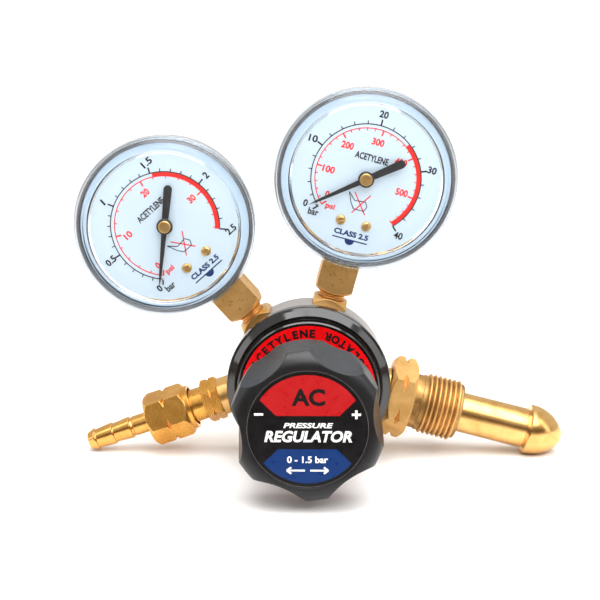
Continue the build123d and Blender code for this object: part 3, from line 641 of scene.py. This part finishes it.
class REGULATOR_OT_steel(Operator):
    """Gives the band, the gauge cases, the springs and the inner pieces their finishes"""
    bl_idname = "regulator.steel"
    bl_label = "Steel and Inner Parts"

    def execute(self, context):
        colours = context.scene.regulator_finishes
        steel = tuple(colours.steel)
        band = satin_metal("satin_band", MAIN, steel, (0.28, 0.42), 2600.0)
        spring = satin_metal("spring_steel", MAIN, (0.40, 0.40, 0.42, 1), (0.25, 0.4))
        zinc = satin_metal("zinc_plate", MAIN, (0.62, 0.63, 0.66, 1), (0.25, 0.4))
        alloy = satin_metal("turned_aluminium", MAIN, (0.78, 0.78, 0.79, 1), (0.2, 0.35))
        rubber = black_coat("rubber_cloth", MAIN, (0.035, 0.035, 0.035, 1), (0.6, 0.8), 0.6,
                            (0.08, 0.08, 0.08, 1), 0.3, 0.0001)
        nylon = printed("nylon_pad", (0.82, 0.79, 0.70, 1), 0.45)
        bronze = brass("sintered_bronze", INLET, colours, 900.0, (0.5, 0.7), forged=1.5)
        for node, material in (
            ("body_band", band), ("main_spring", spring), ("poppet_spring", spring),
            ("adjusting_screw", zinc), ("spring_button", zinc), ("slip_ring", zinc),
            ("diaphragm_nut", alloy), ("diaphragm_plate", alloy), ("diaphragm", rubber),
            ("seat_pad", nylon), ("inlet_filter", bronze),
        ):
            dress(node, material)
        squeezed_copy("main_spring", "main_spring_coil")
        squeezed_copy("poppet_spring", "poppet_spring_coil")
        for gauge in GAUGES:
            place = GAUGE_PLACE[gauge]
            case = satin_metal(f"drawn_case_{gauge}", place, steel, (0.16, 0.28), 2000.0)
            bright = satin_metal(f"small_steel_{gauge}", place, (0.66, 0.66, 0.68, 1), (0.2, 0.3))
            dress(f"{gauge}_gauge_case", case)
            for piece in ("case_screws", "link", "pinion", "hairspring", "stop_pin"):
                dress(f"{gauge}_gauge_{piece}", bright)
        return {"FINISHED"}


class REGULATOR_OT_bonnet(Operator):
    """Enamels the bonnet and prints its ring"""
    bl_idname = "regulator.bonnet"
    bl_label = "Bonnet and Ring"

    RING_LETTER_R, RING_LETTER = 21.3, 3.0
    RING_LINE_R = 17.35

    def execute(self, context):
        colours, ink = context.scene.regulator_finishes, context.scene.regulator_print
        enamel = black_coat("gloss_enamel", MAIN, tuple(colours.enamel), (0.07, 0.16), 0.06,
                            (0.20, 0.17, 0.14, 1), 0.25, 0.00025, coat=0.5, peel_scale=500.0)
        dress("bonnet", enamel)
        dress("bonnet_label", printed("red_film", tuple(ink.ring_red), 0.26, 0.03))
        black = printed("ring_black_ink", tuple(ink.black), 0.3, 0.05)
        pale = printed("ring_edge_ink", (0.80, 0.10, 0.07, 1), 0.3, 0.05)
        size = self.RING_LETTER
        words = ring_letters("ACETYLENE", self.RING_LETTER_R, size, 152.0, -8.2, weight=0.05)
        for start in (6.0, 186.0):
            words += ring_letters("REGULATOR", self.RING_LETTER_R, size, start, 8.2, True, 0.05)
        join_print("bonnet_ring_lettering", words, MAIN, RING_FACE, ink.depth, black, "regulator")
        edge = arc(self.RING_LINE_R, 0.3, 0, 360)
        join_print("bonnet_ring_line", [edge], MAIN, RING_FACE, ink.depth, pale, "regulator")
        return {"FINISHED"}


class REGULATOR_OT_knob(Operator):
    """Moulds the knob's surface and prints its round label"""
    bl_idname = "regulator.knob"
    bl_label = "Knob and Label"

    FIELD_R = 18.7
    RED_FLAT, RED_HALF, RED_CORNER = 4.7, 10.4, (16.3, 8.8)
    BLUE_FLAT, BLUE_HALF, BLUE_CORNER = -6.8, 9.7, (15.4, -10.5)
    RIM_LINE_R = 20.05
    SLANT = 0.22
    SIGN_Y, SIGN_WIDTH, PLUS_X = 5.2, 0.8, 16.0
    ARROW_Y, ARROW_END, ARROW_HEAD, ARROW_WIDTH = -14.2, 6.9, (5.4, 1.1), 0.6

    def field(self, flat, half, corner):
        """Disc segment with its two inner corners cut off."""
        side = 1 if flat > 0 else -1
        run, rise = corner[0] - half, corner[1] - flat
        cuts = [((0, flat), (0, -side))]
        for hand in (1, -1):
            cuts.append(((hand * half, flat), (hand * abs(rise), -side * abs(run))))
        return disc_segment(self.FIELD_R, cuts)

    def execute(self, context):
        colours, ink = context.scene.regulator_finishes, context.scene.regulator_print
        plastic = black_coat("satin_plastic", MAIN, tuple(colours.knob), (0.33, 0.45), 0.10,
                             (0.05, 0.052, 0.058, 1), 0.25, 0.0005, peel_scale=1500.0)
        dress("knob", plastic)
        dress("knob_label", printed("black_film", (0.005, 0.005, 0.006, 1), 0.30, 0.10))
        red = printed("label_red_ink", tuple(ink.red), 0.30, 0.03)
        blue = printed("label_blue_ink", tuple(ink.blue), 0.30, 0.03)
        white = printed("label_white_ink", tuple(ink.white), 0.34, 0.04)
        black = printed("label_black_ink", tuple(ink.black), 0.30, 0.05)
        line = printed("label_rim_ink", (0.10, 0.09, 0.085, 1), 0.3, 0.1)
        face, depth = KNOB_FACE, ink.depth
        field = self.field(self.RED_FLAT, self.RED_HALF, self.RED_CORNER)
        join_print("knob_red_field", [field], MAIN, face, depth, red, "knob")
        field = self.field(self.BLUE_FLAT, self.BLUE_HALF, self.BLUE_CORNER)
        join_print("knob_blue_field", [field], MAIN, face, depth, blue, "knob")
        gas = [letters("AC", (0.2, 11.05), 5.9, 11.0, weight=0.036)]
        join_print("knob_gas_lettering", gas, MAIN, face + depth, depth, black, "knob")
        row, plus = self.SIGN_Y, self.PLUS_X
        words = [
            letters("PRESSURE", (0.2, 1.4), 1.8, 16.4, slant=self.SLANT, weight=0.03),
            letters("REGULATOR", (0.2, -2.4), 4.0, 29.0, slant=self.SLANT, weight=0.035),
            bar((-17.6, row), (-14.6, row), self.SIGN_WIDTH),
            bar((plus - 1.5, row), (plus + 1.5, row), self.SIGN_WIDTH),
            bar((plus, row - 1.5), (plus, row + 1.5), self.SIGN_WIDTH, 1.1),
        ]
        join_print("knob_white_lettering", words, MAIN, face, depth, white, "knob")
        notes = [letters("0 - 1.5 bar", (0, -10.4), 2.4, 13.6, weight=0.025)]
        (barb, half), row, width = self.ARROW_HEAD, self.ARROW_Y, self.ARROW_WIDTH
        for hand in (-1, 1):
            tip = (hand * self.ARROW_END, row)
            notes += stroke([(hand * 0.9, row), tip], width)
            notes += stroke([(hand * barb, row + half), tip, (hand * barb, row - half)], width)
        join_print("knob_turn_mark", notes, MAIN, face + depth, depth, white, "knob")
        rim = [arc(self.RIM_LINE_R, 0.22, 0, 360)]
        join_print("knob_rim_line", rim, MAIN, face, depth, line, "knob")
        return {"FINISHED"}


class REGULATOR_OT_gauges(Operator):
    """Makes the lenses clear, the dials white and the pointers black"""
    bl_idname = "regulator.gauges"
    bl_label = "Lenses, Dials and Pointers"

    def execute(self, context):
        colours = context.scene.regulator_finishes
        for gauge in GAUGES:
            place = GAUGE_PLACE[gauge]
            dress(f"{gauge}_gauge_lens", clear_plastic(f"clear_lens_{gauge}", place,
                                                       tuple(colours.lens)))
            dress(f"{gauge}_gauge_dial", dial_enamel(f"dial_enamel_{gauge}", place,
                                                     tuple(colours.dial)))
            pointer = black_coat(f"pointer_paint_{gauge}", place, (0.010, 0.010, 0.012, 1),
                                 (0.38, 0.5), 0.15, (0.06, 0.06, 0.06, 1), 0.4, 0.00008)
            dress(f"{gauge}_gauge_pointer", pointer)
        return {"FINISHED"}


class REGULATOR_OT_dial_print(Operator):
    """Prints the two scales, their numbers and the marks on both dials"""
    bl_idname = "regulator.dial_print"
    bl_label = "Dial Print"

    GROWTH = 1.035
    BAR_R, PSI_R, NUMBER_R = 19.0, 17.5, 22.8
    ZERO, FULL = 225.0, -45.0
    # from the scale line: how far ticks begin on its other side, and where they end
    BAR_TICK_ROOT, BAR_LONG, BAR_SHORT = 0.2, 2.0, 1.05
    PSI_TICK_ROOT, PSI_LONG, PSI_SHORT = 0.1, 1.9, 0.9
    DIGIT_HEIGHT, BAR_DIGIT, BAR_POINT, BAR_ONE, PSI_DIGIT = 2.5, 1.55, 0.75, 0.65, 1.42
    NOUGHT_DROP, PSI_TURN, ZONE_GAP = 0.5, 2, 2.0
    PSI_NOUGHT = (14.3, ZERO - 8)
    # full scale, step between numbers, step between ticks, start of the red zone
    BAR = {"low": (2.5, 0.5, 0.1, 1.5), "high": (40, 10, 2, 25)}
    # dial angle of the nought, and the place of the unit
    NOUGHT = {"low": (222, (-13.3, -16.9)), "high": (217, (-14.4, -15.7))}
    # steps between numbers and ticks, last tick, degrees for each unit, radius of the numbers
    PSI = {"low": (10, 2, 36, 7.45, 13.3), "high": (100, 20, 580, 0.4655, 13.2)}
    CAN = [(-4.3, -5.7), (-1.7, -8.2), (2.0, -7.8), (3.0, -9.4), (2.2, -11.1), (-1.3, -11.1),
           (-2.7, -9.3), (-4.3, -5.7)]

    def bar_angle(self, gauge, value):
        """Dial angle of a pressure in bar."""
        return self.ZERO + (self.FULL - self.ZERO) * value / self.BAR[gauge][0]

    def black_parts(self, gauge, ink):
        """Bar scale, its numbers, the gas and the outline of the oil can."""
        full, number_step, tick_step, _ = self.BAR[gauge]
        nought, unit = self.NOUGHT[gauge]
        major, minor, line = (w / MM for w in (ink.major_tick, ink.minor_tick, ink.scale_line))
        parts = [arc(self.BAR_R - 0.1, line, self.FULL, self.ZERO)]
        ticks = {i: i * tick_step for i in range(round(full / tick_step) + 1)}
        every = round(number_step / tick_step)
        angles = {i: self.bar_angle(gauge, value) for i, value in ticks.items()}
        root = (self.BAR_R - self.BAR_TICK_ROOT, 0)
        long_tick = bar(root, (self.BAR_R + self.BAR_LONG, 0), major, 1.1)
        parts += copies_round(long_tick, [a for i, a in angles.items() if i % every == 0])
        short_tick = bar(root, (self.BAR_R + self.BAR_SHORT, 0), minor, 1.1)
        parts += copies_round(short_tick, [a for i, a in angles.items() if i % every])
        for i in range(0, len(ticks), every):
            text = f"{ticks[i]:g}"
            wide = sum(self.BAR_POINT if sign == "." else self.BAR_DIGIT for sign in text)
            wide = self.BAR_ONE if text == "1" else wide
            radius = self.NUMBER_R - self.NOUGHT_DROP * (i == 0)
            spot = polar(radius, angles[i] if i else nought)
            parts.append(letters(text, spot, self.DIGIT_HEIGHT, wide, weight=0.03))
        parts.append(letters("ACETYLENE", (0, 7.4), 2.4, 11.7, weight=0.03))
        parts.append(letters("bar", unit, 2.4, 3.7, weight=0.025))
        return parts + stroke(self.CAN, 0.28)

    def red_parts(self, gauge, ink):
        """Psi scale, its numbers, the red zone and the cross over the oil can."""
        number_step, tick_step, last, degrees_each, number_r = self.PSI[gauge]
        major, minor, line = (w / MM for w in (ink.major_tick, ink.minor_tick, ink.scale_line))
        parts = [arc(self.PSI_R, line, self.FULL, self.ZERO)]
        zone = self.bar_angle(gauge, self.BAR[gauge][3]) - self.ZONE_GAP
        parts.append(arc(self.PSI_R + 0.55, 1.6, self.FULL, zone, 1.2))
        values = range(0, last + 1, tick_step)
        turned = {value: self.ZERO - degrees_each * value for value in values}
        root = (self.PSI_R + self.PSI_TICK_ROOT, 0)
        long_tick = bar((self.PSI_R - self.PSI_LONG, 0), root, major, 1.1)
        parts += copies_round(long_tick, [a for v, a in turned.items() if v % number_step == 0])
        short_tick = bar((self.PSI_R - self.PSI_SHORT, 0), root, minor, 1.1)
        parts += copies_round(short_tick, [a for v, a in turned.items() if v % number_step])
        for value in range(0, last + 1, number_step):
            text = str(value)
            spot = (number_r, turned[value] + self.PSI_TURN) if value else self.PSI_NOUGHT
            wide = self.PSI_DIGIT * len(text)
            parts.append(letters(text, polar(*spot), self.DIGIT_HEIGHT, wide, weight=0.035))
        parts.append(letters("psi", (-9.3, -12.6), 2.5, 3.3, weight=0.03))
        parts.append(bar((-2.4, -5.4), (3.0, -12.3), 0.4))
        parts.append(bar((3.2, -5.2), (-1.6, -12.6), 0.4, 1.1))
        return parts

    def blue_parts(self):
        """Accuracy class with a plain line under it."""
        words = letters("CLASS 2.5", (0.3, -19.9), 2.0, 12.2, weight=0.045)
        wing = disc_segment(1.7, [((0, 0), (0, 1))])
        apply_place(wing, Matrix.Translation((0.3, -22.1, 0)))
        return [words, bar((-5.9, -22.0), (6.5, -22.0), 0.45), wing]

    def execute(self, context):
        ink = context.scene.regulator_print
        black = printed("dial_black_ink", tuple(ink.black), 0.4, 0.05)
        red = printed("dial_red_ink", tuple(ink.scale_red), 0.4, 0.05)
        blue = printed("dial_blue_ink", tuple(ink.blue), 0.4, 0.05)
        for gauge in GAUGES:
            grown = Matrix.Diagonal((self.GROWTH, self.GROWTH, 1, 1))
            place, face = GAUGE_PLACE[gauge] @ grown, DIAL_FACE[gauge]
            join_print(f"{gauge}_dial_red_print", self.red_parts(gauge, ink), place, face,
                       ink.depth, red, "regulator")
            join_print(f"{gauge}_dial_black_print", self.black_parts(gauge, ink), place,
                       face + ink.depth, ink.depth, black, "regulator")
            join_print(f"{gauge}_dial_blue_print", self.blue_parts(), place, face, ink.depth,
                       blue, "regulator")
        return {"FINISHED"}


class REGULATOR_OT_studio(Operator):
    """Builds the floor, the lights and the camera"""
    bl_idname = "regulator.studio"
    bl_label = "Studio"

    TARGET = Vector((-0.00855, 0.01825, 0.0602))
    MIDDLE = Vector((0, 0, 0.06))
    FLOOR_TONES = (0.90, 0.885, 0.87, 1), (0.93, 0.92, 0.91, 1)
    # painted reflection: colour of the floor in front as metal mirrors it
    FLOOR_MIRRORED = (0.11, 0.07, 0.045, 1)
    ROOM_TONE, ROOM_FRONT = (1.0, 0.985, 0.965, 1), (0.15, 0.095, 0.06, 1)
    BACKDROP = (1.15, 1.15, 1.15, 1)
    # name, the setting that holds its power, place and size in metres
    LAMPS = (
        ("overhead", "overhead", (0.02, -0.08, 0.75), (0.8, 0.55)),
        ("key", "key", (0.22, -0.60, 0.75), (0.9, 0.5)),
        ("left_strip", "side", (-0.75, -0.25, 0.45), (0.18, 0.8)),
        ("right_strip", "side", (0.75, -0.30, 0.40), (0.22, 0.8)),
    )

    def floor(self, studio):
        """Pale floor: far off it glows, and what metal mirrors of its front is dark."""
        select_only()
        bpy.ops.mesh.primitive_plane_add(size=studio.floor_size)
        plane = bpy.context.object
        plane.name = "studio_floor"
        edit(plane)
        bpy.ops.mesh.subdivide(number_cuts=7)
        leave_edit()
        material, tree, surface = finish("pale_floor", Roughness=0.6)
        point = shader_node(tree, "ShaderNodeTexCoord").outputs["Object"]
        cloud = spread(tree, noise(tree, point, 3.0, 2.0), 0.3, 0.7, 0.0, 1.0)
        shade = blend(tree, cloud, *self.FLOOR_TONES)
        front = shader_node(tree, "ShaderNodeSeparateXYZ", {0: point}).outputs[1]
        away, _ = axis_radius(tree, point)
        mirrored = shader_node(tree, "ShaderNodeLightPath").outputs["Is Glossy Ray"]
        # painted reflection: glossy rays see the floor in front dark
        painted_dark_reflection = maths(tree, "MULTIPLY", mirrored, spread(tree, front, -0.03, -0.10, 0.0, 1.0))
        shade = blend(tree, painted_dark_reflection, shade, self.FLOOR_MIRRORED)
        tree.links.new(shade, surface.inputs["Base Color"])
        surface.inputs["Emission Color"].default_value = (1, 0.99, 0.98, 1)
        tree.links.new(spread(tree, away, 0.25, 1.6, 0.0, 0.4), surface.inputs["Emission Strength"])
        surface.inputs["Specular IOR Level"].default_value = 0.1
        plane.data.materials.append(material)

    def room(self, studio):
        """White room, dark low down in front, and plain white where the camera sees it."""
        world = bpy.data.worlds.new("studio_room")
        bpy.context.scene.world = world
        world.use_nodes = True
        tree = world.node_tree
        way = shader_node(tree, "ShaderNodeTexCoord").outputs["Generated"]
        parts = shader_node(tree, "ShaderNodeSeparateXYZ", {0: way})
        front = spread(tree, parts.outputs[1], 0.05, -0.45, 0.0, 1.0)
        low = spread(tree, parts.outputs[2], 0.55, 0.20, 0.0, 1.0)
        dark = maths(tree, "MULTIPLY", front, low)
        shade = blend(tree, dark, self.ROOM_TONE, self.ROOM_FRONT)
        seen = shader_node(tree, "ShaderNodeLightPath").outputs["Is Camera Ray"]
        shade = blend(tree, seen, shade, self.BACKDROP)
        background = tree.nodes["Background"]
        tree.links.new(shade, background.inputs["Color"])
        background.inputs["Strength"].default_value = studio.ambient

    def softbox(self, name, spot, size, power):
        """Large soft lamp at a spot, turned to the middle of the object."""
        bpy.ops.object.light_add(type="AREA", location=spot)
        lamp = bpy.context.object
        lamp.name = lamp.data.name = name
        lamp.data.shape, lamp.data.size, lamp.data.size_y = "RECTANGLE", *size
        lamp.data.energy = power
        away = Vector(spot) - self.MIDDLE
        lamp.rotation_euler = away.to_track_quat("Z", "Y").to_euler()

    def execute(self, context):
        studio = context.scene.regulator_studio
        self.floor(studio)
        self.room(studio)
        for name, setting, spot, size in self.LAMPS:
            self.softbox(name, spot, size, getattr(studio, setting))
        lift, side = studio.elevation, studio.azimuth
        back = Vector((sin(side) * cos(lift), -cos(side) * cos(lift), sin(lift)))
        bpy.ops.object.camera_add(location=self.TARGET + back * studio.distance)
        camera = bpy.context.object
        camera.rotation_euler = back.to_track_quat("Z", "Y").to_euler()
        camera.data.lens = studio.focal
        camera.data.clip_start, camera.data.clip_end = 0.01, 60.0
        context.scene.camera = camera
        context.scene.view_settings.view_transform = "Standard"
        return {"FINISHED"}


STEPS = (REGULATOR_OT_brass, REGULATOR_OT_steel, REGULATOR_OT_bonnet, REGULATOR_OT_knob,
         REGULATOR_OT_gauges, REGULATOR_OT_dial_print, REGULATOR_OT_studio)


class REGULATOR_PT_panel(Panel):
    """Lists the steps and the settings"""
    bl_idname = "REGULATOR_PT_panel"
    bl_label = "Gas Regulator"
    bl_space_type = "VIEW_3D"
    bl_region_type = "UI"
    bl_category = "Regulator"

    def draw(self, context):
        for step in STEPS:
            self.layout.operator(step.bl_idname)
        for name in SETTINGS:
            group = getattr(context.scene, name)
            part = self.layout.box()
            for field in group.__annotations__:
                part.prop(group, field)


SETTINGS = {"regulator_finishes": RegulatorFinishes, "regulator_print": RegulatorPrint,
            "regulator_studio": RegulatorStudio}
CLASSES = (*SETTINGS.values(), *STEPS, REGULATOR_PT_panel)


def register():
    """Makes the settings, the steps and the panel known."""
    for item in CLASSES:
        bpy.utils.register_class(item)
    for name, group in SETTINGS.items():
        setattr(bpy.types.Scene, name, PointerProperty(type=group))


def unregister():
    """Takes them away again."""
    for name in SETTINGS:
        delattr(bpy.types.Scene, name)
    for item in reversed(CLASSES):
        bpy.utils.unregister_class(item)


def main():
    """Runs every step in order."""
    register()
    for step in STEPS:
        group, name = step.bl_idname.split(".")
        getattr(getattr(bpy.ops, group), name)()


if __name__ == "__main__":
    main()
